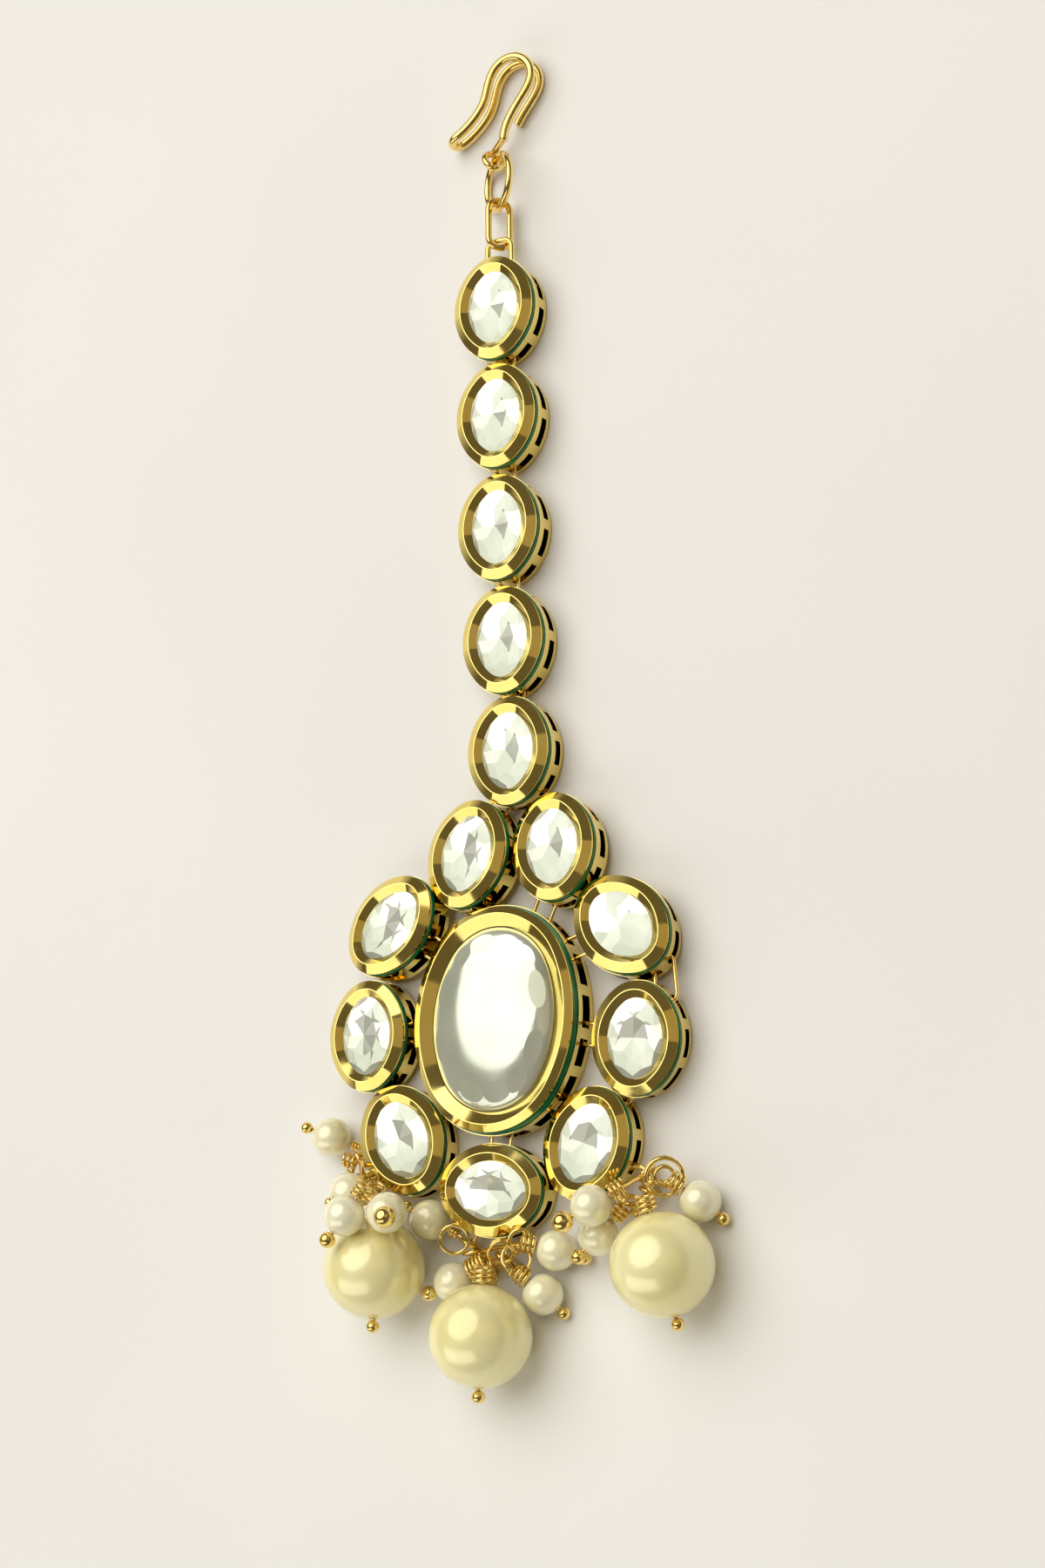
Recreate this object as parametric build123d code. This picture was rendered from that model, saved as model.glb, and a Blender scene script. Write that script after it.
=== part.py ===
"""Maang tikka: hook, chain of five stone settings, and a flower pendant with pearl drops.

Millimetres, +Z up. The jewel lies on its back on z = 0, hook toward +Y. The origin
is the middle of the back of the pendant's large setting.
"""
from math import atan2, cos, degrees, pi, radians, sin
import os

from build123d import *

os.makedirs("parts", exist_ok=True)

# ---- ovals of four tangent arcs: half width, half length, end radius as a share of the half width
SMALL_HALF = (3.6, 4.65, 0.74)
MAIN_HALF = (8.0, 10.4, 0.9)

# ---- settings: each profile is a list of (height, growth outward from the crest oval)
SMALL_WALL = [(0.0, 0.75), (0.25, 0.96), (2.75, 1.0)]
SMALL_CHANNEL = [(0.5, 0.55), (2.1, 0.55)]
SMALL_CORE = [(0.5, -1.2), (2.1, -1.2)]
SMALL_GROOVE = [(2.35, 0.85), (2.9, 0.85)]
SMALL_BAND = [(2.2, 0.62), (2.4, 0.62), (3.2, 0.86), (3.47, 0.88), (4.0, 0.04)]
SMALL_MOUTH = [(1.9, -1.9), (2.95, -0.75), (3.5, -0.75), (4.0, -0.05), (4.2, -0.05)]
SMALL_SLOTS = (0.8, 1.85)
SMALL_BARS = 8
SMALL_CREST = 4.0

MAIN_WALL = [(0.0, 0.7), (0.25, 0.95), (3.4, 1.0)]
MAIN_CHANNEL = [(0.6, 0.5), (2.75, 0.5)]
MAIN_CORE = [(0.6, -2.0), (2.75, -2.0)]
MAIN_GROOVE = [(2.95, 0.83), (3.5, 0.83)]
MAIN_BAND = [(2.85, 0.52), (3.05, 0.52), (3.8, 0.7), (4.38, 0.72), (4.8, 0.04)]
MAIN_MOUTH = [(2.6, -4.4), (3.6, -1.22), (4.15, -1.22), (4.8, -0.05), (5.0, -0.05)]
MAIN_SLOTS = (1.0, 2.6)
MAIN_BARS = 18
MAIN_CREST = 4.8
MAIN_TURN = -5.0
SLOT_GROWTHS = (0.3, 1.5)
BAR_BLOCK = (2.0, 1.06, 3.0)
FOOT_STEPS = 360

# ---- stones: (height, share of the girdle outline) from the culet up to the table
STONE_GAP = 0.82
SMALL_STONE = [(2.05, 0.55), (2.95, 1.0), (3.45, 1.0), (3.8, 0.82), (4.02, 0.56)]
SMALL_SIDES = 16
MAIN_STONE_GAP = 1.3
MAIN_STONE = [
    (2.78, 0.58), (3.6, 1.0), (3.95, 1.0), (4.7, 0.93),
    (5.35, 0.78), (5.8, 0.55), (6.0, 0.28),
]
MAIN_SIDES = 24

# ---- the chain: settings laid flat, the hook end first
CHAIN = [(0.05, 74.15), (0.25, 62.4), (0.35, 50.45), (0.85, 38.55)]

# ---- tilted settings: name, crest x, crest y, turn, tilt about X, tilt about Y
LEANING = [
    ("petal_1", -3.12, 16.9, -14.0, -4.5, -4.0),
    ("petal_2", 6.5, 16.7, 6.5, -6.0, -1.5),
    ("petal_3", 13.9, 8.25, 45.0, -5.0, 4.0),
    ("petal_4", 15.2, -3.05, -5.0, 4.0, 3.5),
    ("petal_5", 9.6, -12.7, -21.0, 1.0, 0.0),
    ("petal_6", -0.8, -16.65, 84.0, 2.0, 0.0),
    ("petal_7", -10.6, -11.15, 21.0, 0.0, 3.0),
    ("petal_8", -14.6, -0.55, -3.0, 1.0, -5.0),
    ("petal_9", -11.9, 10.45, -46.0, -5.0, -7.0),
    ("chain_5", 1.45, 26.96, -1.5, 1.0, 0.0),
]

# ---- rings that link two settings round a bar of each
LINK_WIRE = 0.4
LINK_HALF_WIDE = 1.05
LINK_REACH = 1.15
LINK_ROOM = 0.37
WALL_MIDDLE = 0.77
SEARCH = 120
LOOP_ROUNDING = 0.98
CHAIN_LINKS = [("chain_%d" % number, "chain_%d" % (number + 1)) for number in range(1, 5)]
TOP_LINKS = [("chain_5", "petal_1"), ("chain_5", "petal_2")]
PETAL_LINKS = [("main", "petal_%d" % number) for number in range(1, 10)]
PETAL_LINKS += [("petal_3", "petal_4"), ("petal_4", "petal_5")]
OUTER_PAIR = ("petal_3", "petal_4")
OUTER_SHARES = (0.745, 0.17)

# ---- hook: one wire folded double, its two runs stacked
HOOK_WIRE = 0.88
HOOK_RUN = [
    (0.9, 93.1), (1.45, 94.95), (3.05, 97.3), (4.2, 99.7), (3.3, 101.55), (1.7, 102.05),
    (0.1, 101.3), (-0.85, 99.6), (-1.4, 97.7), (-2.5, 96.1), (-4.65, 94.45),
]
HOOK_NEAR = 2.4
HOOK_FAR = 0.46
HOOK_FAR_START = 0.1

RING_AT = (0.15, 88.4, 2.2)
RING_MEAN = 2.9
RING_WIRE = 0.68
RING_TURN = 39.0
RING_CUT_AT = 60.0
RING_CUT = (2.0, 0.25, 2.0)
EYE_PLACE = 113.0
EYE_MEAN = 1.0
EYE_OUT = 0.15
EYE_WIRE = 0.62

TOP_LINK = (0.15, 83.73, 2.1)
TOP_LINK_HALF = (1.15, 2.6)
TOP_LINK_TURN = -44.0
TOP_WIRE = 0.6
BAIL = [(-1.2, 79.3), (-1.2, 81.9), (1.6, 81.9), (1.6, 79.3)]
BAIL_BEND = 0.9
BAIL_HEIGHT = 2.1


# ---- pearl drops: a cluster ring through a petal's slots, and one wire pin a pearl
DROP_BARS = [("petal_7", 0.53), ("petal_6", 0.483), ("petal_5", 0.934)]
DROP_OUT = 1.18
DROP_RING_MEAN = 1.9
DROP_RING_WIRE = 0.4
LARGE_PEARL = 5.0
SMALL_PEARL = 2.0
PEARL_HOLE = 0.3
PIN_WIRE = 0.4
PIN_JOINT = 0.48
PIN_GAP = 0.1
EYE_LOOP_MEAN = 0.95
EYE_LOOP_WIRE = 0.38
WRAPS = 2
WRAP_MEAN = 0.32
WRAP_STEP = 0.37
WRAP_WIRE = 0.34
WRAP_START = 0.3

# cluster, pearl (large or small), x, y, z, heading and rise of the ball end in degrees,
# ball diameter, place of the eye on the cluster ring in degrees, offset of the eye
PINS = [
    (1, "small", -19.65, -10.2, 2.0, 156, 29, 1.1, -63, -0.28),
    (1, "small", -15.44, -16.31, 5.72, -131, 57, 0.9, -19, -0.04),
    (1, "small", -13.14, -19.0, 10.42, -125, 10, 1.5, -93, 0.42),
    (1, "small", -9.16, -18.82, 9.15, -27, 61, 2.0, 93, -0.35),
    (1, "large", -12.95, -23.7, 5.0, -89, 4, 1.2, 57, 0.06),
    (2, "small", -8.07, -19.05, 2.5, 148, 25, 1.0, -90, 0.35),
    (2, "small", -5.75, -25.2, 2.0, -160, 1, 1.5, -14, -0.05),
    (2, "small", 4.05, -26.75, 2.0, -48, -28, 1.2, 69, 0.1),
    (2, "small", 5.64, -22.62, 2.18, -17, -30, 1.4, -67, 0.0),
    (2, "large", -1.15, -30.7, 5.0, -95, -4, 1.2, 21, 0.08),
    (3, "small", 11.49, -18.99, 6.39, -148, 23, 2.0, 77, 0.15),
    (3, "small", 10.61, -21.47, 3.13, -133, 11, 1.4, -62, 0.19),
    (3, "small", 20.85, -18.7, 2.0, -42, -24, 1.2, 45, 0.36),
    (3, "large", 18.15, -24.7, 5.0, -80, -12, 1.2, 19, -0.2),
]


def arcs(half, grow=0.0):
    """End radius, end centre, side centre, side radius and tangency angle of an oval."""
    end_r = half[2] * half[0]
    end_y = half[1] - end_r
    side_x = (end_y**2 - (half[0] - end_r) ** 2) / (2 * (half[0] - end_r))
    side_r = half[0] + side_x
    return end_r + grow, end_y, side_x, side_r + grow, atan2(end_y, side_x)


def oval(half, height, grow):
    """Flat oval face at a height, grown outward from the crest oval."""
    end_r, end_y, side_x, side_r, lean = arcs(half, grow)
    x = side_r * cos(lean) - side_x
    y = side_r * sin(lean)
    wide = half[0] + grow
    tall = half[1] + grow
    outline = [
        ThreePointArc((x, -y), (wide, 0), (x, y)),
        ThreePointArc((x, y), (0, tall), (-x, y)),
        ThreePointArc((-x, y), (-wide, 0), (-x, -y)),
        ThreePointArc((-x, -y), (0, -tall), (x, -y)),
    ]
    return Pos(0, 0, height) * make_face(outline)


def slab(half, profile):
    """Solid lofted straight through the ovals of a profile."""
    return loft([oval(half, height, grow) for height, grow in profile], ruled=True)


def spot(half, grow, share):
    """Point on a grown oval a share of the way round from +X, with its outward angle."""
    end_r, end_y, side_x, side_r, lean = arcs(half, grow)
    side = side_r * lean
    quarter = side + end_r * (pi / 2 - lean)
    quadrant = int(4 * (share % 1))
    part = 4 * (share % 1) - quadrant
    run = quarter * (1 - part if quadrant % 2 else part)
    if run < side:
        angle = run / side_r
        x = side_r * cos(angle) - side_x
        y = side_r * sin(angle)
    else:
        angle = lean + (run - side) / end_r
        x = end_r * cos(angle)
        y = end_y + end_r * sin(angle)
    flip_x = 1 if quadrant in (0, 3) else -1
    flip_y = 1 if quadrant in (0, 1) else -1
    return flip_x * x, flip_y * y, degrees(atan2(flip_y * sin(angle), flip_x * cos(angle)))


def slots(half, heights, shares):
    """Cutter for the wall's slots, with a bar left at each share of the way round."""
    low, high = heights
    inner, outer = SLOT_GROWTHS
    cutter = slab(half, [(low, outer), (high, outer)]) - slab(half, [(low, inner), (high, inner)])
    for share in shares:
        x, y, angle = spot(half, WALL_MIDDLE, share)
        cutter -= Pos(x, y, (low + high) / 2) * Rot(0, 0, angle) * Box(*BAR_BLOCK)
    return cutter


def setting(half, wall, channel, core, groove, band, mouth):
    """Closed-back cup with a grooved rim and a bevelled frame round a stone seat."""
    body = slab(half, wall)
    body -= slab(half, groove)
    body -= slab(half, channel) - slab(half, core)
    body += slab(half, band)
    return body - slab(half, mouth)


def stone(half, gap, profile, sides):
    """Faceted stone: scaled polygons of the girdle, joined by flat facets."""
    outline = [spot(half, -gap, (number + 0.5) / sides)[:2] for number in range(sides)]
    layers = []
    for height, share in profile:
        corners = [(share * x, share * y) for x, y in outline]
        layers.append(Pos(0, 0, height) * make_face(Polyline(*corners, close=True)))
    return loft(layers, ruled=True)


def lean_location(x, y, turn, tilt_x, tilt_y):
    """Location of a small setting by its crest centre, its lowest point on z = 0."""
    spin = Rotation(0, tilt_y, 0) * Rotation(tilt_x, 0, 0) * Rotation(0, 0, turn)
    foot = [spot(SMALL_HALF, SMALL_WALL[0][1], step / FOOT_STEPS) for step in range(FOOT_STEPS)]
    drop = min((spin * Pos(px, py, 0)).position.Z for px, py, _ in foot)
    crest = (spin * Pos(0, 0, SMALL_CREST)).position
    return Pos(x - crest.X, y - crest.Y, -drop) * spin


def wall_plane(name, share):
    """Plane at the middle of a setting's wall: x outward, z the setting's own up."""
    main = name == "main"
    half = MAIN_HALF if main else SMALL_HALF
    low, high = MAIN_SLOTS if main else SMALL_SLOTS
    x, y, angle = spot(half, WALL_MIDDLE, share)
    return Plane(PLACES[name] * Pos(x, y, (low + high) / 2) * Rot(0, 0, angle))


def facing_shares(first, second):
    """Where two neighbours' walls come closest, as a share of the way round each."""
    ones = [(wall_plane(first, step / SEARCH).origin, step / SEARCH) for step in range(SEARCH)]
    others = [(wall_plane(second, step / SEARCH).origin, step / SEARCH) for step in range(SEARCH)]
    best = min(((one - other).length, share, mate) for one, share in ones for other, mate in others)
    return best[1:]


def bar_shares(name):
    """Bars where the links go, with even bars filled in between them."""
    fixed = sorted(ANCHORS[name])
    count = MAIN_BARS if name == "main" else SMALL_BARS
    shares = []
    for number, start in enumerate(fixed):
        after = fixed[(number + 1) % len(fixed)]
        span = (after - start) % 1 or 1.0
        parts = max(1, round(span * count))
        shares += [start + span * part / parts for part in range(parts)]
    return shares


def along(path, diameter):
    """Round wire swept along a path."""
    return sweep(Plane(path @ 0, z_dir=path % 0) * Circle(diameter / 2), path=path)


def wire_loop(half_wide, half_long, wire):
    """Closed stadium of round wire in the XY plane, long along Y."""
    corners = [
        (-half_wide, -half_long), (half_wide, -half_long),
        (half_wide, half_long), (-half_wide, half_long),
    ]
    return along(FilletPolyline(*corners, radius=half_wide * LOOP_ROUNDING, close=True), wire)


def link(first, second):
    """Ring round the facing bars of two neighbours."""
    share, mate = FACING[(first, second)]
    one = wall_plane(first, share).origin
    other = wall_plane(second, mate).origin
    if first == "main":
        low, high = MAIN_SLOTS
        one = Vector(one.X, one.Y, min(max(other.Z, low + LINK_ROOM), high - LINK_ROOM))
    gap = other - one
    up = wall_plane(first, share).z_dir + wall_plane(second, mate).z_dir
    plane = Plane((one + other) / 2, x_dir=gap.cross(up), z_dir=gap.cross(up).cross(gap))
    loop = wire_loop(LINK_HALF_WIDE, gap.length / 2 + LINK_REACH, LINK_WIRE)
    return plane.location * loop


PLACES = {name: lean_location(*numbers) for name, *numbers in LEANING}
for number, (x, y) in enumerate(CHAIN, 1):
    PLACES["chain_%d" % number] = Pos(x, y, 0)
PLACES["main"] = Rot(0, 0, MAIN_TURN)
FACING = {pair: facing_shares(*pair) for pair in CHAIN_LINKS + TOP_LINKS + PETAL_LINKS}
FACING[OUTER_PAIR] = OUTER_SHARES
ANCHORS = {name: [] for name in PLACES}
for pair, shares in FACING.items():
    for name, share in zip(pair, shares):
        ANCHORS[name].append(share)
for name, share in DROP_BARS:
    ANCHORS[name].append(share)


def save(shape, name):
    export_step(shape, "parts/%s.step" % name)


def build_settings():
    profiles = (SMALL_WALL, SMALL_CHANNEL, SMALL_CORE, SMALL_GROOVE, SMALL_BAND, SMALL_MOUTH)
    small = setting(SMALL_HALF, *profiles)
    gem = stone(SMALL_HALF, STONE_GAP, SMALL_STONE, SMALL_SIDES)
    for name, place in PLACES.items():
        if name == "main":
            continue
        kind, number = name.split("_")
        shape = place * (small - slots(SMALL_HALF, SMALL_SLOTS, bar_shares(name)))
        if name == "chain_1":
            shape += bail()
        save(shape, "%s_setting_%s" % (kind, number))
        save(place * gem, "%s_stone_%s" % (kind, number))
    profiles = (MAIN_WALL, MAIN_CHANNEL, MAIN_CORE, MAIN_GROOVE, MAIN_BAND, MAIN_MOUTH)
    large = setting(MAIN_HALF, *profiles)
    save(PLACES["main"] * (large - slots(MAIN_HALF, MAIN_SLOTS, bar_shares("main"))), "centre_setting")
    save(PLACES["main"] * stone(MAIN_HALF, MAIN_STONE_GAP, MAIN_STONE, MAIN_SIDES), "centre_stone")


def bail():
    """Wire arch soldered on the wall of the top setting."""
    return along(FilletPolyline(*[(x, y, BAIL_HEIGHT) for x, y in BAIL], radius=BAIL_BEND), TOP_WIRE)


def build_links():
    for number, pair in enumerate(CHAIN_LINKS, 1):
        save(link(*pair), "chain_link_%d" % number)
    save(Compound([link(*pair) for pair in TOP_LINKS]), "chain_link_5")
    save(Compound([link(*pair) for pair in PETAL_LINKS]), "petal_rings")
    place = Pos(*TOP_LINK) * Rot(0, -TOP_LINK_TURN, 0)
    save(place * wire_loop(*TOP_LINK_HALF, TOP_WIRE), "top_link")


def build_hook():
    ring_place = Pos(*RING_AT) * Rot(0, -RING_TURN, 0)
    ring = Torus(RING_MEAN, RING_WIRE / 2)
    ring -= Rot(0, 0, RING_CUT_AT) * Pos(RING_MEAN, 0, 0) * Box(*RING_CUT)
    save(ring_place * ring, "hook_ring")

    near = Spline(*[(x, y, HOOK_NEAR) for x, y in HOOK_RUN])
    drop = HOOK_NEAR - HOOK_FAR
    far = Pos(0, 0, -drop) * near.trim(HOOK_FAR_START, 1)
    top = near @ 1
    bottom = top - Vector(0, 0, drop)
    tip = (top + bottom) / 2 + (near % 1) * (drop / 2)
    fold = ThreePointArc(top, tip, bottom)
    hook = along(near, HOOK_WIRE) + along(far, HOOK_WIRE) + along(fold, HOOK_WIRE)

    eye_place = ring_place * Rot(0, 0, EYE_PLACE) * Pos(RING_MEAN + EYE_OUT, 0, 0) * Rot(90, 0, 0)
    rim = (eye_place * Pos(EYE_MEAN, 0, 0)).position
    neck = along(Line(rim, near @ 0), EYE_WIRE)
    ball = Pos(near @ 0) * Sphere(HOOK_WIRE / 2)
    save(hook + ball + neck + eye_place * Torus(EYE_MEAN, EYE_WIRE / 2), "hook")


def drop_ring(cluster):
    """Location of a cluster's ring, x pointing away from its petal."""
    plane = wall_plane(*DROP_BARS[cluster - 1])
    return plane.location * Pos(DROP_OUT, 0, 0)


def rod(start, end, diameter):
    """Round wire between two points."""
    way = end - start
    upright = Cylinder(diameter / 2, way.length, align=(Align.CENTER, Align.CENTER, Align.MIN))
    return Plane(start, z_dir=way).location * upright


def pin(ring, pearl, radius, aim, ball, place, offset):
    """Ball-ended wire through a pearl, wrapped, then bent to an eye round the ring."""
    spin = ring * Rot(0, 0, place)
    hold = (spin * Pos(DROP_RING_MEAN, 0, 0)).position
    tangent = Plane(spin).y_dir
    knob = pearl + aim * (radius + ball / 2 + PIN_GAP)
    neck = pearl - aim * (radius + WRAP_START + WRAP_STEP * WRAPS)
    toward = (neck - hold).normalized()
    centre = hold + toward * offset
    loop = Plane(centre, x_dir=toward, z_dir=tangent - toward * tangent.dot(toward)).location
    pieces = [
        rod(centre + toward * EYE_LOOP_MEAN, neck, PIN_WIRE),
        Pos(neck) * Sphere(PIN_JOINT / 2),
        rod(neck, knob, PIN_WIRE),
        Pos(knob) * Sphere(ball / 2),
    ]
    for turn in range(WRAPS):
        at = pearl - aim * (radius + WRAP_START + WRAP_STEP * (turn + 0.5))
        pieces.append(Plane(at, z_dir=aim).location * Torus(WRAP_MEAN, WRAP_WIRE / 2))
    shape = loop * Torus(EYE_LOOP_MEAN, EYE_LOOP_WIRE / 2)
    return shape.fuse(*pieces)


def build_drops():
    counts = {"large": 0, "small": 0}
    radii = {"large": LARGE_PEARL, "small": SMALL_PEARL}
    for cluster in range(1, len(DROP_BARS) + 1):
        ring = drop_ring(cluster)
        wires = [ring * Torus(DROP_RING_MEAN, DROP_RING_WIRE / 2)]
        for owner, size, x, y, z, heading, rise, ball, place, offset in PINS:
            if owner != cluster:
                continue
            pearl = Vector(x, y, z)
            flat = cos(radians(rise))
            aim = Vector(flat * cos(radians(heading)), flat * sin(radians(heading)), sin(radians(rise)))
            wires.append(pin(ring, pearl, radii[size], aim, ball, place, offset))
            counts[size] += 1
            hole = rod(pearl - aim * 2 * radii[size], pearl + aim * 2 * radii[size], 2 * PEARL_HOLE)
            save(Pos(pearl) * Sphere(radii[size]) - hole, "%s_pearl_%d" % (size, counts[size]))
        save(Compound(wires), "drop_wires_%d" % cluster)


build_settings()
build_links()
build_hook()
build_drops()
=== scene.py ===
"""Maang tikka lying on a pale table: gold settings, foiled stones, pearl drops."""
from math import atan2, cos, hypot, pi, radians, sin

import bmesh
import bpy
from mathutils import Euler, Matrix, Vector


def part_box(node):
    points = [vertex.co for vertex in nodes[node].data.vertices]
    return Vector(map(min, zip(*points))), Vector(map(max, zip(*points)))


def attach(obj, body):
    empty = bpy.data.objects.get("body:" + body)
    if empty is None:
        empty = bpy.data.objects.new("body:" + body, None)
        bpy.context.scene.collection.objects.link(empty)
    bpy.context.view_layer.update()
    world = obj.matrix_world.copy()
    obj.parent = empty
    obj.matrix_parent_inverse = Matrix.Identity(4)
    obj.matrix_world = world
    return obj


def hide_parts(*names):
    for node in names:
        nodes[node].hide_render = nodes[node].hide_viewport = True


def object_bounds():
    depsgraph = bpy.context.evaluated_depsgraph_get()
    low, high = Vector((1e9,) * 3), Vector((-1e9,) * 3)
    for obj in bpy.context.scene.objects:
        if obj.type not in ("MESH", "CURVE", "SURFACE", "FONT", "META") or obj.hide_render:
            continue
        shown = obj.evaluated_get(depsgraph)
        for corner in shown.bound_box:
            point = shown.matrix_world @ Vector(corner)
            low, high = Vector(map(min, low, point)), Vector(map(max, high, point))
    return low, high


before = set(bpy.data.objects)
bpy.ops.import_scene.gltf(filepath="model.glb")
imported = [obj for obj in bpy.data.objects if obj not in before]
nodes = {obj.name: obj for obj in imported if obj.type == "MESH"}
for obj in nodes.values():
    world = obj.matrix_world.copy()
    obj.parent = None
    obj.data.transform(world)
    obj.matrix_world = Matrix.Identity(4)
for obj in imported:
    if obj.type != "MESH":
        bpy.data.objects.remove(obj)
cad_box = [list(corner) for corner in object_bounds()]

# Lengths are in millimetres as in the part's source, and angles in degrees, until
# set_in brings a piece to metres.
MM = 0.001

# ---- settings: half width, half length and the end radius as a share of the half width
SMALL_HALF = (3.6, 4.65, 0.74)
SMALL_CREST = 4.0  # height of the crest, on which a setting is placed
SMALL_FOOT = 0.75  # growth of the foot from the crest oval
FOOT_STEPS = 360
MAIN_HALF = (8.0, 10.4, 0.9)
MAIN_TURN = -5.0

# ---- places of the small settings: x and y of the crest, turn, lean about x, lean about y
PLACES = {
    "chain_1": (0.05, 74.15),
    "chain_2": (0.25, 62.4),
    "chain_3": (0.35, 50.45),
    "chain_4": (0.85, 38.55),
    "petal_1": (-3.12, 16.9, -14.0, -4.5, -4.0),
    "petal_2": (6.5, 16.7, 6.5, -6.0, -1.5),
    "petal_3": (13.9, 8.25, 45.0, -5.0, 4.0),
    "petal_4": (15.2, -3.05, -5.0, 4.0, 3.5),
    "petal_5": (9.6, -12.7, -21.0, 1.0, 0.0),
    "petal_6": (-0.8, -16.65, 84.0, 2.0, 0.0),
    "petal_7": (-10.6, -11.15, 21.0, 0.0, 3.0),
    "petal_8": (-14.6, -0.55, -3.0, 1.0, -5.0),
    "petal_9": (-11.9, 10.45, -46.0, -5.0, -7.0),
    "chain_5": (1.45, 26.96, -1.5, 1.0, 0.0),
}

# ---- enamel lines in the grooves: (height, growth outward from the crest oval)
SMALL_LINE = [
    (2.33, 0.60), (2.33, 0.87), (2.77, 0.87), (2.86, 0.94), (2.98, 0.91), (2.98, 0.78),
]
MAIN_LINE = [
    (2.93, 0.50), (2.93, 0.85), (3.42, 0.85), (3.52, 0.92), (3.64, 0.88), (3.64, 0.63),
]
ROUND_STEPS = 144  # steps of a spun ring or dome
BLANK = 20.0  # radius at which a ring is spun, before it is drawn to its oval

# ---- small stones, cut in a space where the girdle has radius 1:
# facets in a row, first angle, lean from upright, reach and height of the cut
GEM_HALF = (2.84, 3.88)
GEM_GAP = -0.76  # growth of the girdle from the crest oval
GEM_BASE = 2.9
GEM_TALL = 0.40
GEM_STEPS = 64
GEM_CUTS = [
    (8, 0.0, 19.0, 0.86, 0.275),
    (8, 22.5, 10.0, 0.66, 0.345),
    (16, 11.25, 29.0, 0.96, 0.225),
    (1, 0.0, 0.0, 0.0, 0.372),
]

# ---- centre stone: levels, rise of the dome, growth of its girdle from the crest oval
DOME_BASE = 3.3
DOME_FOOT = 3.95
DOME_TALL = 2.05
DOME_STEP = 5
DOME_GAP = -1.28
DOME_FACETS = 12
DOME_FACET_AT = radians(34)
DOME_FACET_DEEP = 0.07

# ---- pearl drops: heading and rise of each pin's ball end
PEARL_RADIUS = {"small": 2.0, "large": 5.0}
PIN_AIMS = {
    "small": [
        (156, 29), (-131, 57), (-125, 10), (-27, 61), (148, 25), (-160, 1),
        (-48, -28), (-17, -30), (-148, 23), (-133, 11), (-42, -24),
    ],
    "large": [(-89, 4), (-95, -4), (-80, -12)],
}

# ---- wound wire: mean radius, wire, length and turns
COIL_WIDE = (0.85, 0.36, 1.5, 3.2)
COIL_TIGHT = (0.39, 0.31, 0.95, 3.0)
COIL_ROOM = 1.0  # height above the table under which a coil is wound tight
COIL_START = 0.18  # gap between a pearl and its coil
TURN_STEPS = 20
WIRE_SIDES = 10

# ---- loose curls of the clusters: x, y, z, heading and rise of the axis, then as wound wire
CURLS = [
    (-13.9, -14.9, 4.0, -26, 60, (0.8, 0.4, 0.6, 1.6)),
    (-16.6, -12.9, 2.6, 160, 20, (0.6, 0.36, 1.2, 2.6)),
    (-12.6, -16.6, 5.4, 60, 40, (0.9, 0.4, 0.9, 2.2)),
    (-5.1, -21.1, 3.0, -26, 60, (1.4, 0.42, 0.5, 1.3)),
    (-3.5, -24.1, 2.3, 25, 10, (1.0, 0.38, 2.2, 4.6)),
    (0.4, -22.5, 3.6, -60, 50, (1.2, 0.42, 0.6, 1.6)),
    (1.9, -23.4, 3.4, 20, 55, (1.4, 0.42, 0.6, 1.4)),
    (-1.5, -25.1, 2.4, -100, 40, (0.8, 0.38, 0.8, 2.2)),
    (2.3, -21.6, 3.2, -26, 60, (1.1, 0.42, 0.5, 1.5)),
    (17.8, -16.3, 3.4, -26, 60, (1.8, 0.42, 0.6, 1.4)),
    (17.7, -16.2, 3.2, -26, 60, (0.9, 0.42, 0.5, 1.6)),
    (15.9, -19.1, 3.5, 150, 55, (1.2, 0.42, 0.5, 1.5)),
]

# ---- finer skins of the part's own shapes, and the merging of doubled corners
SKIN_WELD = 0.002
SKIN_SLIVER = 0.001
SKIN_CREASE = radians(22)  # edges that turn more stay crisp
WIRE_FULLER = 0.05  # growth of a wire's skin all round
MESH_WELD = 1e-4
CUT_NEAR = 1e-5


# ---------------------------------------------------------------- materials

SHADER = "Principled BSDF"
NO_COAT = (0.0, 0.0)
RIPPLE_DETAIL = 2.0


def set_inputs(node, values):
    for name, value in values.items():
        node.inputs[name].default_value = value


def new_material(name, metallic=0.0, coat=NO_COAT):
    """Material, its node tree, and the place on the piece that its patterns read."""
    material = bpy.data.materials.new(name)
    material.use_nodes = True
    tree = material.node_tree
    weight, roughness = coat
    values = {"Metallic": metallic, "Coat Weight": weight, "Coat Roughness": roughness}
    set_inputs(tree.nodes[SHADER], values)
    return material, tree, tree.nodes.new("ShaderNodeTexCoord").outputs["Object"]


def noise(tree, where, scale, detail):
    node = tree.nodes.new("ShaderNodeTexNoise")
    set_inputs(node, {"Scale": scale, "Detail": detail})
    tree.links.new(where, node.inputs["Vector"])
    return node.outputs["Fac"]


def number_of(tree, kind, first, second=0.0):
    """Result of one Math node on two values or sockets."""
    node = tree.nodes.new("ShaderNodeMath")
    node.operation = kind
    for socket, value in zip(node.inputs, (first, second)):
        if isinstance(value, float):
            socket.default_value = value
        else:
            tree.links.new(value, socket)
    return node.outputs[0]


def ramp(tree, value, stops):
    node = tree.nodes.new("ShaderNodeValToRGB")
    while len(node.color_ramp.elements) < len(stops):
        node.color_ramp.elements.new(0.5)
    for element, (position, colour) in zip(node.color_ramp.elements, stops):
        element.position = position
        element.color = (*colour, 1.0)
    tree.links.new(value, node.inputs["Fac"])
    return node.outputs["Color"]


def tint(tree, value, stops):
    """Colour the surface by a value."""
    tree.links.new(ramp(tree, value, stops), tree.nodes[SHADER].inputs["Base Color"])


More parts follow.
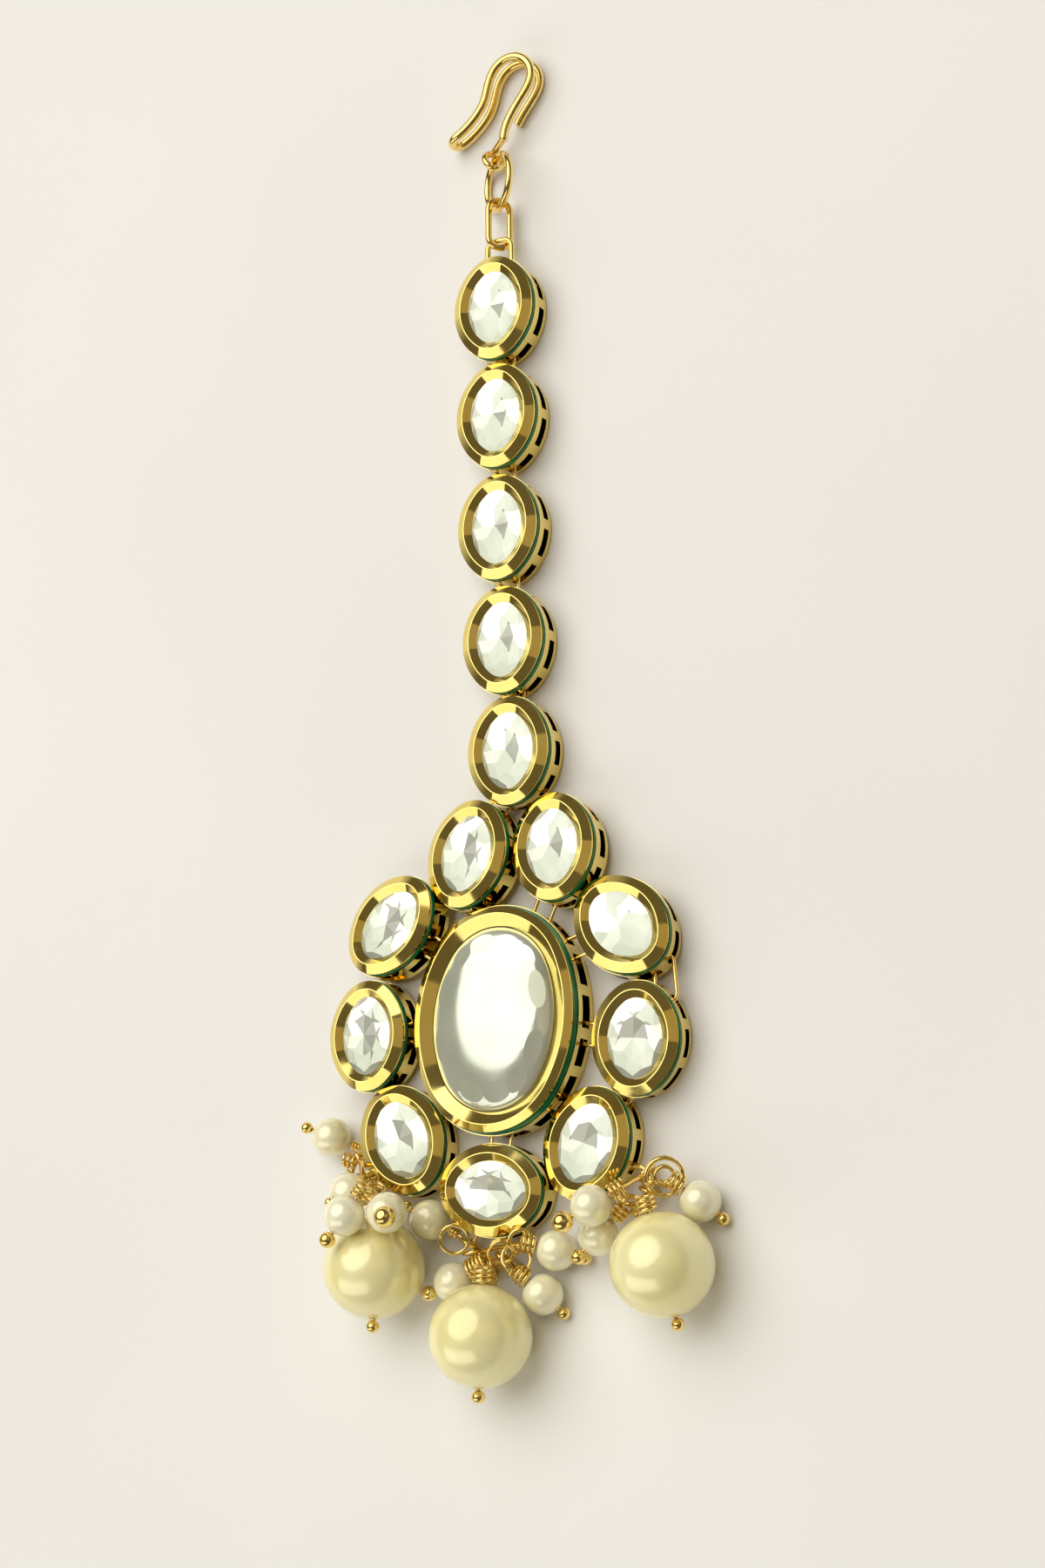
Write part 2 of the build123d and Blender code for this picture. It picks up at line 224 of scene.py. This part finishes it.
def wear(tree, value, least, most):
    """Spread the roughness by the middle range of a noise."""
    node = tree.nodes.new("ShaderNodeMapRange")
    values = {"From Min": 0.3, "From Max": 0.7, "To Min": least, "To Max": most}
    set_inputs(node, values)
    tree.links.new(value, node.inputs["Value"])
    tree.links.new(node.outputs["Result"], tree.nodes[SHADER].inputs["Roughness"])


def relief(tree, value, strength, depth):
    """Raise the surface by a value, with the depth in metres."""
    node = tree.nodes.new("ShaderNodeBump")
    set_inputs(node, {"Strength": strength, "Distance": depth})
    tree.links.new(value, node.inputs["Height"])
    tree.links.new(node.outputs["Normal"], tree.nodes[SHADER].inputs["Normal"])


def surface(name, pale, deep, tone, rough, ripple, metallic=0.0, coat=NO_COAT):
    """Material from three noises: tone (scale, detail, stops of the deep and the pale
    colour), rough (scale, detail, least, most) and ripple (scale, strength, depth)."""
    material, tree, where = new_material(name, metallic, coat)
    scale, detail, first, last = tone
    tint(tree, noise(tree, where, scale, detail), [(first, deep), (last, pale)])
    scale, detail, least, most = rough
    wear(tree, noise(tree, where, scale, detail), least, most)
    scale, strength, depth = ripple
    relief(tree, noise(tree, where, scale, RIPPLE_DETAIL), strength, depth)
    return material


def metal(name, pale, deep, least, most, strength):
    return surface(
        name, pale, deep, tone=(260.0, 4.0, 0.3, 0.7), rough=(900.0, 5.0, least, most),
        ripple=(420.0, strength, 0.00002), metallic=1.0,
    )


def pearl_skin(name, pale, deep):
    return surface(
        name, pale, deep, tone=(180.0, 4.0, 0.3, 0.7), rough=(600.0, 3.0, 0.16, 0.24),
        ripple=(900.0, 0.06, 0.00002), metallic=0.15, coat=(0.7, 0.15),
    )


def wedges(tree, angle, reach, count, shift):
    """Height of a faceted cone seen from above, and a random tone for each facet that is painted
    on as the reflection of that facet.
    """
    turn = number_of(tree, "MULTIPLY", angle, count / (2 * pi))
    part = number_of(tree, "ADD", turn, shift)
    whole = number_of(tree, "FLOOR", part)
    off = number_of(tree, "SUBTRACT", number_of(tree, "FRACT", part), 0.5)
    slant = number_of(tree, "COSINE", number_of(tree, "MULTIPLY", off, 2 * pi / count))
    tone = tree.nodes.new("ShaderNodeTexWhiteNoise")
    tone.noise_dimensions = "1D"
    tree.links.new(whole, tone.inputs["W"])
    return number_of(tree, "MULTIPLY", reach, slant), tone.outputs["Value"]


def cut_stone(name, pale, deep, star_steep=1.35, star_drop=0.20, cloud=0.4):
    """Foiled cut crystal: the back facets show through the table as radiating wedges, bumped
    into the surface, each with a painted reflection: its own lighter or darker colour in place
    of the light it would mirror.
    """
    material, tree, where = new_material(name, metallic=0.5, coat=(1.0, 0.02))
    own = tree.nodes.new("ShaderNodeUVMap")
    own.uv_map = "cut"
    split = tree.nodes.new("ShaderNodeSeparateXYZ")
    tree.links.new(own.outputs["UV"], split.inputs["Vector"])
    across = number_of(tree, "SUBTRACT", split.outputs["X"], 0.5)
    along = number_of(tree, "SUBTRACT", split.outputs["Y"], 0.5)
    angle = number_of(tree, "ARCTAN2", along, across)
    squares = [number_of(tree, "POWER", side, 2.0) for side in (across, along)]
    distance = number_of(tree, "SQRT", number_of(tree, "ADD", *squares))
    reach = number_of(tree, "MULTIPLY", distance, 2.0)

    # Painted reflection: each back facet and each star facet gets its own random lighter or
    # darker colour in place of the light it would mirror; a random mist in the glass is mixed in
    # below.
    back, back_reflection = wedges(tree, angle, reach, count=8.0, shift=0.0)
    star, star_reflection = wedges(tree, angle, reach, count=8.0, shift=0.5)
    star = number_of(tree, "MULTIPLY", star, star_steep)
    star = number_of(tree, "SUBTRACT", star, star_drop)
    on_star = number_of(tree, "GREATER_THAN", star, back)
    off_star = number_of(tree, "SUBTRACT", 1.0, on_star)
    back_reflection_share = number_of(tree, "MULTIPLY", back_reflection, off_star)
    star_reflection_share = number_of(tree, "MULTIPLY", star_reflection, on_star)
    tone = number_of(tree, "ADD", back_reflection_share, star_reflection_share)

    facets = number_of(tree, "MULTIPLY", tone, 1.0 - cloud)
    mist = number_of(tree, "MULTIPLY", noise(tree, where, scale=300.0, detail=3.0), cloud)
    tint(tree, number_of(tree, "ADD", facets, mist), [(0.2, deep), (0.6, pale)])
    wear(tree, noise(tree, where, scale=700.0, detail=3.0), least=0.05, most=0.14)
    relief(tree, number_of(tree, "MAXIMUM", back, star), strength=1.0, depth=0.00065)
    return material


polished_gold = metal(
    "polished_gold", (0.97, 0.79, 0.27), (0.89, 0.69, 0.19), least=0.04, most=0.10, strength=0.10
)
wire_gold = metal(
    "wire_gold", (1.0, 0.80, 0.32), (0.92, 0.65, 0.20), least=0.08, most=0.16, strength=0.15
)
green_enamel = surface(
    "green_enamel", (0.0, 0.24, 0.105), (0.0, 0.12, 0.05), tone=(500.0, 3.0, 0.3, 0.7),
    rough=(900.0, 3.0, 0.1, 0.25), ripple=(700.0, 0.3, 0.00003), coat=(0.6, 0.05),
)
# Foiled crystal whose facets carry painted reflections: lighter and darker colours in place of
# mirrored light.
crystal = cut_stone("foiled_crystal", (0.90, 0.92, 0.82), (0.52, 0.56, 0.45))
dome_glass = surface(
    "foiled_dome", (0.86, 0.89, 0.78), (0.66, 0.71, 0.57), tone=(90.0, 2.0, 0.35, 0.65),
    rough=(300.0, 3.0, 0.09, 0.18), ripple=(85.0, 0.30, 0.0003), metallic=0.62,
    coat=(0.5, 0.08),
)
cream_pearl = pearl_skin("cream_pearl", (0.97, 0.92, 0.54), (0.92, 0.82, 0.38))
ivory_pearl = pearl_skin("ivory_pearl", (0.96, 0.93, 0.70), (0.91, 0.85, 0.56))


# ---------------------------------------------------------------- ovals and places

def arcs(half, grow=0.0):
    """End radius, end centre, side centre, side radius and tangency angle of an oval."""
    end_r = half[2] * half[0]
    end_y = half[1] - end_r
    side_x = (end_y**2 - (half[0] - end_r) ** 2) / (2 * (half[0] - end_r))
    return end_r + grow, end_y, side_x, half[0] + side_x + grow, atan2(end_y, side_x)


def oval_spot(half, grow, angle):
    """Point of a grown oval where its outward direction has the given angle."""
    end_r, end_y, side_x, side_r, lean = arcs(half, grow)
    across = abs(cos(angle))
    along = abs(sin(angle))
    if atan2(along, across) < lean:
        x = side_r * across - side_x
        y = side_r * along
    else:
        x = end_r * across
        y = end_y + end_r * along
    return Vector((x if cos(angle) > 0 else -x, y if sin(angle) > 0 else -y, 0))


def small_place(x, y, turn=0.0, lean_x=0.0, lean_y=0.0):
    """Matrix of a small setting from its crest, its lowest point on the table."""
    lie = Euler((0, radians(lean_y), 0)).to_matrix() @ Euler((radians(lean_x), 0, 0)).to_matrix()
    lie = lie @ Euler((0, 0, radians(turn))).to_matrix()
    foot = [oval_spot(SMALL_HALF, SMALL_FOOT, radians(step)) for step in range(FOOT_STEPS)]
    drop = min((lie @ spot).z for spot in foot)
    crest = lie @ Vector((0, 0, SMALL_CREST))
    return Matrix.Translation((x - crest.x, y - crest.y, -drop)) @ lie.to_4x4()


def heading_of(turn, rise):
    """Unit vector from a heading in the plan and a rise above it."""
    flat = cos(radians(rise))
    return Vector((flat * cos(radians(turn)), flat * sin(radians(turn)), sin(radians(rise))))


def set_in(work, place):
    """Move a bmesh from its setting's own millimetres to its place on the jewel."""
    bmesh.ops.transform(work, matrix=place, verts=work.verts)
    bmesh.ops.scale(work, vec=(MM, MM, MM), verts=work.verts)


# ---------------------------------------------------------------- pieces

def finish_piece(name, work, material, *stands_for):
    """Turn a bmesh into a piece that rides on the jewel."""
    mesh = bpy.data.meshes.new(name)
    work.to_mesh(mesh)
    work.free()
    mesh.materials.append(material)
    piece = bpy.data.objects.new(name, mesh)
    bpy.context.scene.collection.objects.link(piece)
    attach(piece, "root")
    if stands_for:
        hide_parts(*stands_for)
    return piece


def polished_copy(node, material, fuller=0.0):
    """Finer skin of a metal or pearl part: one closed mesh with smooth curves and crisp
    edges. A fuller skin is grown outward, but never past the part's own box."""
    work = bmesh.new()
    work.from_mesh(nodes[node].data)
    bmesh.ops.remove_doubles(work, verts=work.verts, dist=SKIN_WELD * MM)
    bmesh.ops.dissolve_degenerate(work, edges=work.edges, dist=SKIN_SLIVER * MM)
    if fuller:
        bmesh.ops.recalc_face_normals(work, faces=work.faces)
        work.normal_update()
        for vert in work.verts:
            full = vert.co + vert.normal * fuller * MM
            vert.co = [min(max(value, low), high) for value, low, high in zip(full, *cad_box)]
    for face in work.faces:
        face.smooth = True
    for edge in work.edges:
        edge.smooth = edge.is_manifold and edge.calc_face_angle() < SKIN_CREASE
    piece = finish_piece("fine_" + node, work, material, node)
    return piece


def spun(section):
    """Section of (height, reach) points spun into a ring or a cap."""
    work = bmesh.new()
    spots = [work.verts.new((reach, 0, height)) for height, reach in section]
    pairs = list(zip(spots, spots[1:]))
    if section[-1][1] > 0:
        pairs.append((spots[-1], spots[0]))
    edges = [work.edges.new(pair) for pair in pairs]
    bmesh.ops.spin(
        work, geom=spots + edges, axis=(0, 0, 1), angle=2 * pi, steps=ROUND_STEPS,
        use_merge=True,
    )
    bmesh.ops.remove_doubles(work, verts=work.verts, dist=MESH_WELD)
    bmesh.ops.recalc_face_normals(work, faces=work.faces)
    return work


def oval_ring(half, section):
    """Closed ring round a setting, its section given as (height, growth)."""
    work = spun([(height, BLANK + grow) for height, grow in section])
    for vert in work.verts:
        grow = hypot(vert.co.x, vert.co.y) - BLANK
        spot = oval_spot(half, grow, atan2(vert.co.y, vert.co.x))
        vert.co = (spot.x, spot.y, vert.co.z)
    return work


def cut_facet(work, spot, outward):
    """Cut one flat facet through a spot and give it crisp edges."""
    cut = bmesh.ops.bisect_plane(
        work, geom=work.verts[:] + work.edges[:] + work.faces[:], dist=CUT_NEAR,
        plane_co=spot, plane_no=outward, clear_outer=True,
    )
    rim = [item for item in cut["geom_cut"] if isinstance(item, bmesh.types.BMEdge)]
    if rim:
        bmesh.ops.holes_fill(work, edges=rim)
    for edge in rim:
        edge.smooth = False


def small_gem():
    """Crystal cut from a blank of radius about 1, then drawn out to its oval."""
    work = bmesh.new()
    bmesh.ops.create_circle(work, segments=GEM_STEPS, radius=1.0, cap_ends=True)
    for vert in work.verts:
        spot = oval_spot(SMALL_HALF, GEM_GAP, atan2(vert.co.y, vert.co.x))
        vert.co = (spot.x / GEM_HALF[0], spot.y / GEM_HALF[1], 0)
    made = bmesh.ops.extrude_face_region(work, geom=list(work.faces))["geom"]
    top = [item for item in made if isinstance(item, bmesh.types.BMVert)]
    bmesh.ops.translate(work, vec=(0, 0, GEM_TALL), verts=top)
    for count, first, tilt, reach, height in GEM_CUTS:
        upright = Vector((0, 0, height))
        for number in range(count):
            turn = radians(first + 360 * number / count)
            flat = Vector((cos(turn), sin(turn), 0))
            outward = flat * sin(radians(tilt)) + Vector((0, 0, cos(radians(tilt))))
            cut_facet(work, flat * reach + upright, outward)
    bmesh.ops.remove_doubles(work, verts=work.verts, dist=MESH_WELD)
    bmesh.ops.recalc_face_normals(work, faces=work.faces)
    layer = work.loops.layers.uv.new("cut")
    for face in work.faces:
        for loop in face.loops:
            loop[layer].uv = (0.5 + 0.5 * loop.vert.co.x, 0.5 + 0.5 * loop.vert.co.y)
    bmesh.ops.scale(work, vec=(*GEM_HALF, GEM_HALF[0]), verts=work.verts)
    bmesh.ops.translate(work, vec=(0, 0, GEM_BASE), verts=work.verts)
    return work


def centre_gem():
    """Domed oval stone with a ring of faint facets above its girdle."""
    steps = [radians(step) for step in range(0, 90, DOME_STEP)]
    arch = [(DOME_FOOT + DOME_TALL * sin(step), cos(step)) for step in steps]
    top = (DOME_FOOT + DOME_TALL, 0.0)
    work = spun([(DOME_BASE, 0.0), (DOME_BASE, 1.0), *arch, top])
    for face in work.faces:
        face.smooth = True
    for vert in work.verts:
        share = hypot(vert.co.x, vert.co.y)
        spot = oval_spot(MAIN_HALF, DOME_GAP, atan2(vert.co.y, vert.co.x)) * share
        vert.co = (spot.x, spot.y, vert.co.z)
    wide, long = (side + DOME_GAP for side in MAIN_HALF[:2])
    rise = DOME_TALL * sin(DOME_FACET_AT)
    for number in range(DOME_FACETS):
        turn = 2 * pi * (number + 0.5) / DOME_FACETS
        rim = oval_spot(MAIN_HALF, DOME_GAP, turn) * cos(DOME_FACET_AT)
        outward = Vector((rim.x / wide**2, rim.y / long**2, rise / DOME_TALL**2)).normalized()
        spot = Vector((rim.x, rim.y, DOME_FOOT + rise))
        cut_facet(work, spot - outward * DOME_FACET_DEEP, outward)
    return work


def wound_wire(mean, wire, length, turns):
    """Round wire wound up a helix about the z axis, its section spun as it climbs."""
    work = bmesh.new()
    made = bmesh.ops.create_circle(work, segments=WIRE_SIDES, radius=wire / 2)["verts"]
    upright = Matrix.Rotation(pi / 2, 3, "X")
    bmesh.ops.rotate(work, verts=made, cent=(0, 0, 0), matrix=upright)
    bmesh.ops.translate(work, vec=(mean, 0, 0), verts=made)
    steps = round(TURN_STEPS * turns)
    bmesh.ops.spin(
        work, geom=work.verts[:] + work.edges[:], axis=(0, 0, 1), angle=2 * pi * turns,
        steps=steps, dvec=(0, 0, length / steps),
    )
    ends = [edge for edge in work.edges if edge.is_boundary]
    bmesh.ops.holes_fill(work, edges=ends)
    bmesh.ops.recalc_face_normals(work, faces=work.faces)
    for face in work.faces:
        face.smooth = len(face.verts) == 4
    return work


def add_wound(name, spot, aim, shape):
    """Wound wire that starts at a spot and climbs along an aim."""
    work = wound_wire(*shape)
    set_in(work, Matrix.Translation(spot) @ aim.to_track_quat("Z", "Y").to_matrix().to_4x4())
    finish_piece(name, work, wire_gold)


for node in nodes:
    if "large_pearl" in node:
        polished_copy(node, cream_pearl)
    elif "small_pearl" in node:
        polished_copy(node, ivory_pearl)
    elif "setting" in node:
        polished_copy(node, polished_gold)
    elif "drop_wires" in node or node in ("hook", "hook_ring", "top_link"):
        polished_copy(node, wire_gold, fuller=WIRE_FULLER)
    elif "stone" not in node:
        polished_copy(node, wire_gold)

for name, spot in PLACES.items():
    place = small_place(*spot)
    gem = small_gem()
    set_in(gem, place)
    stone_name = name.replace("_", "_stone_")
    finish_piece("cut_" + stone_name, gem, crystal, stone_name)
    line = oval_ring(SMALL_HALF, SMALL_LINE)
    set_in(line, place)
    finish_piece("enamel_" + name, line, green_enamel)

main_place = Euler((0, 0, radians(MAIN_TURN))).to_matrix().to_4x4()
gem = centre_gem()
set_in(gem, main_place)
finish_piece("domed_centre_stone", gem, dome_glass, "centre_stone")
line = oval_ring(MAIN_HALF, MAIN_LINE)
set_in(line, main_place)
finish_piece("enamel_centre", line, green_enamel)

for size, radius in PEARL_RADIUS.items():
    for number, (turn, rise) in enumerate(PIN_AIMS[size], 1):
        node = "%s_pearl_%d" % (size, number)
        low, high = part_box(node)
        centre = (Vector(low) + Vector(high)) / 2 / MM
        away = -heading_of(turn, rise)
        foot = centre + away * (radius + COIL_START)
        tight = (foot + away * COIL_WIDE[2]).z < COIL_ROOM
        add_wound("wire_coil_" + node, foot, away, COIL_TIGHT if tight else COIL_WIDE)

for number, (x, y, z, turn, rise, shape) in enumerate(CURLS, 1):
    add_wound("wire_curl_%d" % number, Vector((x, y, z)), heading_of(turn, rise), shape)


# ---------------------------------------------------------------- floor, lights, camera
# Lengths are in metres from here on.

FLOOR_RADIUS = 0.8
FLOOR_SIDES = 96
TABLE_DEEP = (0.80, 0.79, 0.77)
TABLE_PALE = (0.84, 0.83, 0.81)

OVERHEAD = (-0.25, 0.40, 0.88)
OVERHEAD_SIZE = (1.62, 1.53)
OVERHEAD_COLOUR = (1.0, 0.99, 0.95)
FRONT = (-0.42, -0.66, 0.58)
FRONT_SIZE = (1.45, 0.53)
FRONT_COLOUR = (1.0, 0.98, 0.93)
FRONT_ROLL = 25.0
SIDE = (0.62, 0.15, 0.75)
SIDE_SIZE = (0.76, 1.08)
SIDE_COLOUR = (1.0, 0.78, 0.44)

SKY_EDGE = (0.0, (0.66, 0.63, 0.58))
SKY_ABOVE = (0.2, (0.13, 0.11, 0.075))

CAMERA_AT = (0.14725, -0.04775, 0.2799)
CAMERA_RIGHT = Vector((0.88577, -0.00798, -0.46406))
CAMERA_UP = Vector((0.11008, 0.97494, 0.19335))
CAMERA_SENSOR = 36.0
CAMERA_LENS = 74.0
CAMERA_NEAREST = 0.01


def build_floor():
    mesh = bpy.data.meshes.new("floor")
    work = bmesh.new()
    bmesh.ops.create_circle(work, cap_ends=True, segments=FLOOR_SIDES, radius=FLOOR_RADIUS)
    work.to_mesh(mesh)
    work.free()
    floor = bpy.data.objects.new("floor", mesh)
    bpy.context.scene.collection.objects.link(floor)
    material, tree, where = new_material("pale_table")
    grain = noise(tree, where, scale=12.0, detail=2.0)
    tint(tree, grain, [(0.3, TABLE_DEEP), (0.7, TABLE_PALE)])
    set_inputs(tree.nodes[SHADER], {"Roughness": 0.8})
    mesh.materials.append(material)


def softbox(name, toward, distance, size, strength, colour, roll=0.0, shape="RECTANGLE",
            mirrored=True):
    """Soft light in a direction from the pendant, turned to face it. Polished surfaces
    show it only if it is mirrored."""
    lamp = bpy.data.lights.new(name, "AREA")
    lamp.shape = shape
    lamp.size, lamp.size_y = size
    area = size[0] * size[1] * (pi / 4 if shape == "ELLIPSE" else 1.0)
    lamp.energy = strength * area
    lamp.color = colour
    holder = bpy.data.objects.new(name, lamp)
    way = Vector(toward).normalized()
    holder.location = way * distance
    turn = (-way).to_track_quat("-Z", "Y").to_matrix() @ Euler((0, 0, radians(roll))).to_matrix()
    holder.rotation_euler = turn.to_euler()
    holder.visible_glossy = mirrored
    bpy.context.scene.collection.objects.link(holder)


def build_lights():
    """A large light overhead, a low one in front and a weak warm one from the side."""
    overhead = {"toward": OVERHEAD, "size": OVERHEAD_SIZE, "colour": OVERHEAD_COLOUR}
    softbox("overhead", distance=1.20, strength=5.2, shape="ELLIPSE", **overhead)
    softbox("overhead_fill", distance=1.25, strength=3.0, mirrored=False, **overhead)
    front = {"toward": FRONT, "size": FRONT_SIZE, "colour": FRONT_COLOUR, "roll": FRONT_ROLL}
    softbox("front", distance=1.10, strength=3.8, **front)
    softbox("front_fill", distance=1.15, strength=1.7, mirrored=False, **front)
    softbox("side", SIDE, distance=1.30, size=SIDE_SIZE, strength=0.8, colour=SIDE_COLOUR)


def build_world():
    """Dim warm sky with a pale band at its edge, behind the table."""
    world = bpy.data.worlds.new("studio")
    world.use_nodes = True
    tree = world.node_tree
    toward = tree.nodes.new("ShaderNodeTexCoord")
    split = tree.nodes.new("ShaderNodeSeparateXYZ")
    tree.links.new(toward.outputs["Generated"], split.inputs["Vector"])
    glow = ramp(tree, split.outputs["Z"], [SKY_EDGE, SKY_ABOVE])
    tree.links.new(glow, tree.nodes["Background"].inputs["Color"])
    bpy.context.scene.world = world


def build_camera():
    camera = bpy.data.cameras.new("camera")
    camera.sensor_fit = "VERTICAL"
    camera.sensor_height = CAMERA_SENSOR
    camera.lens = CAMERA_LENS
    camera.clip_start = CAMERA_NEAREST
    holder = bpy.data.objects.new("camera", camera)
    backward = CAMERA_RIGHT.cross(CAMERA_UP)
    turn = Matrix((CAMERA_RIGHT, CAMERA_UP, backward)).transposed().to_4x4()
    holder.matrix_world = Matrix.Translation(CAMERA_AT) @ turn
    bpy.context.scene.collection.objects.link(holder)
    bpy.context.scene.camera = holder


build_floor()
build_lights()
build_world()
build_camera()
bpy.context.scene.view_settings.view_transform = "Standard"
